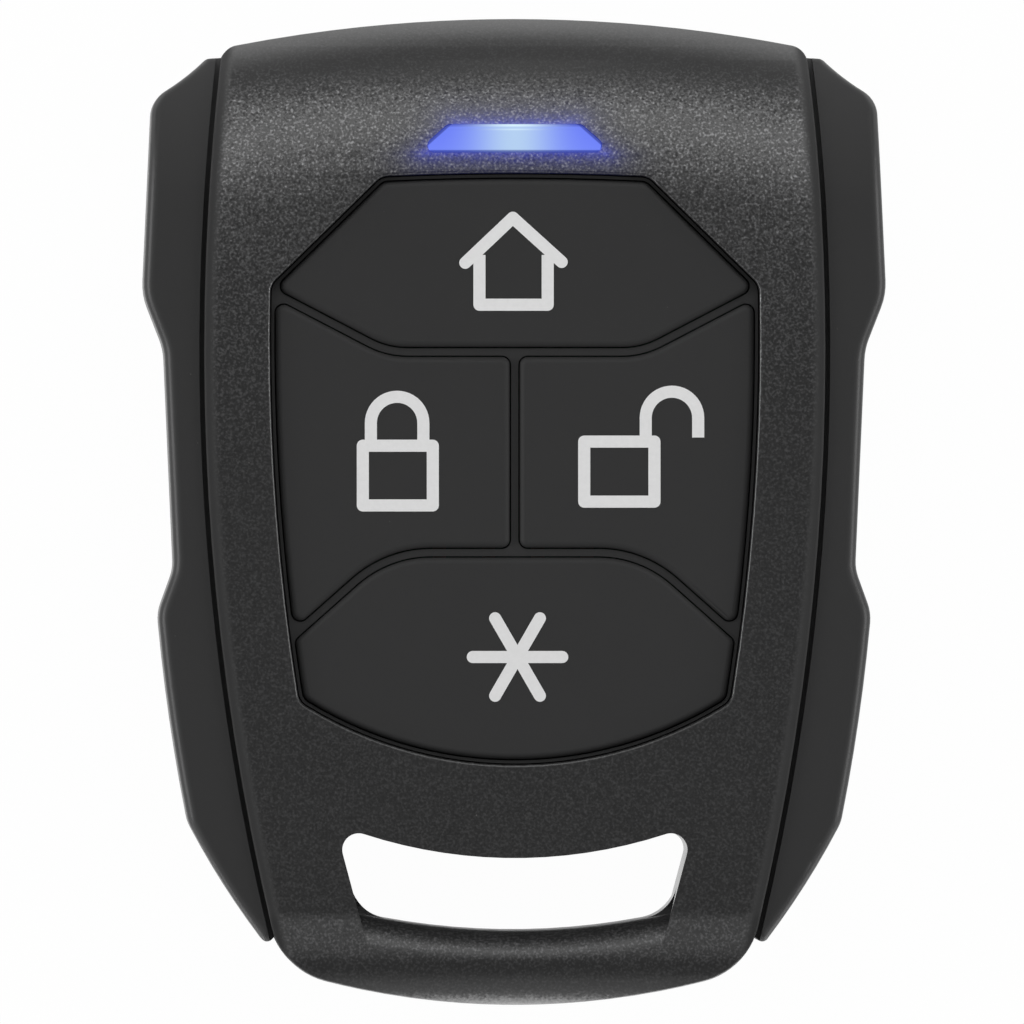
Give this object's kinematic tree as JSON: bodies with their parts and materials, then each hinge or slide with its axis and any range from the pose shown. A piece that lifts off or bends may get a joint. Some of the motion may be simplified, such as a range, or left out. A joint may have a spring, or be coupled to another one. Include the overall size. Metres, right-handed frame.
{
  "type": "car alarm remote",
  "caption": "Palm-sized remote with a tapered matte shell, soft side grips, rubber push keys, a lit lens at one end and a key ring slot at the other.",
  "frame": {"origin": "centre of the footprint on the flat back, on which the remote lies", "axes": "+Z out of the face with the keys, +Y along the remote towards the lens, +X to the right as the keys are read"},
  "size_m": [0.0452, 0.06, 0.014],
  "materials": {
    "panel_plastic": "spark-eroded black moulding, fine sparkle grain",
    "grip_rubber": "smooth matte black soft grip",
    "key_rubber": "smooth matte black silicone",
    "mat_rubber": "matte black silicone",
    "lens_plastic": "clear lens with a blue glow",
    "board_laminate": "green solder mask over glass laminate",
    "switch_plastic": "moulded switch housing",
    "plunger_plastic": "pale moulded plunger",
    "lamp_resin": "clear lamp resin",
    "chip_resin": "moulded chip resin",
    "plated_steel": "nickel plated",
    "copper_strip": "tinned copper alloy",
    "passive_ceramic": "fired ceramic chips",
    "screw_steel": "black zinc plated steel"
  },
  "bodies": {
    "remote_body": {"front_shell": "panel_plastic", "rear_shell": "panel_plastic", "left_grip": "grip_rubber", "right_grip": "grip_rubber", "led_lens": "lens_plastic", "keypad_mat": "mat_rubber", "home_switch_housing": "switch_plastic", "lock_switch_housing": "switch_plastic", "unlock_switch_housing": "switch_plastic", "star_switch_housing": "switch_plastic", "circuit_board": "board_laminate", "status_led": "lamp_resin", "encoder_chip": "chip_resin", "rf_resonator": "plated_steel", "crystal": "plated_steel", "chip_passives": "passive_ceramic", "loop_antenna": "copper_strip", "coin_cell": "plated_steel", "battery_clip": "plated_steel", "battery_contact": "copper_strip", "shell_screws": "screw_steel"},
    "home_button": {"home_key": "key_rubber"},
    "home_plunger": {"home_switch_plunger": "plunger_plastic"},
    "lock_button": {"lock_key": "key_rubber"},
    "lock_plunger": {"lock_switch_plunger": "plunger_plastic"},
    "unlock_button": {"unlock_key": "key_rubber"},
    "unlock_plunger": {"unlock_switch_plunger": "plunger_plastic"},
    "star_button": {"star_key": "key_rubber"},
    "star_plunger": {"star_switch_plunger": "plunger_plastic"}
  },
  "joints": [
    {"name": "home_press", "type": "slide", "parent": "remote_body", "child": "home_button", "axis": [0, 0, -1], "range_m": [0, 0.0005], "stiffness_N_per_m": 400, "springref_m": -0.0005},
    {"name": "home_click", "type": "slide", "parent": "remote_body", "child": "home_plunger", "axis": [0, 0, -1], "range_m": [0, 0.00025]},
    {"name": "lock_press", "type": "slide", "parent": "remote_body", "child": "lock_button", "axis": [0, 0, -1], "range_m": [0, 0.0005], "stiffness_N_per_m": 400, "springref_m": -0.0005},
    {"name": "lock_click", "type": "slide", "parent": "remote_body", "child": "lock_plunger", "axis": [0, 0, -1], "range_m": [0, 0.00025]},
    {"name": "unlock_press", "type": "slide", "parent": "remote_body", "child": "unlock_button", "axis": [0, 0, -1], "range_m": [0, 0.0005], "stiffness_N_per_m": 400, "springref_m": -0.0005},
    {"name": "unlock_click", "type": "slide", "parent": "remote_body", "child": "unlock_plunger", "axis": [0, 0, -1], "range_m": [0, 0.00025]},
    {"name": "star_press", "type": "slide", "parent": "remote_body", "child": "star_button", "axis": [0, 0, -1], "range_m": [0, 0.0005], "stiffness_N_per_m": 400, "springref_m": -0.0005},
    {"name": "star_click", "type": "slide", "parent": "remote_body", "child": "star_plunger", "axis": [0, 0, -1], "range_m": [0, 0.00025]}
  ],
  "couplings": [
    {"joint": "home_click", "follows": "home_press", "ratio": 0.5},
    {"joint": "lock_click", "follows": "lock_press", "ratio": 0.5},
    {"joint": "unlock_click", "follows": "unlock_press", "ratio": 0.5},
    {"joint": "star_click", "follows": "star_press", "ratio": 0.5}
  ]
}
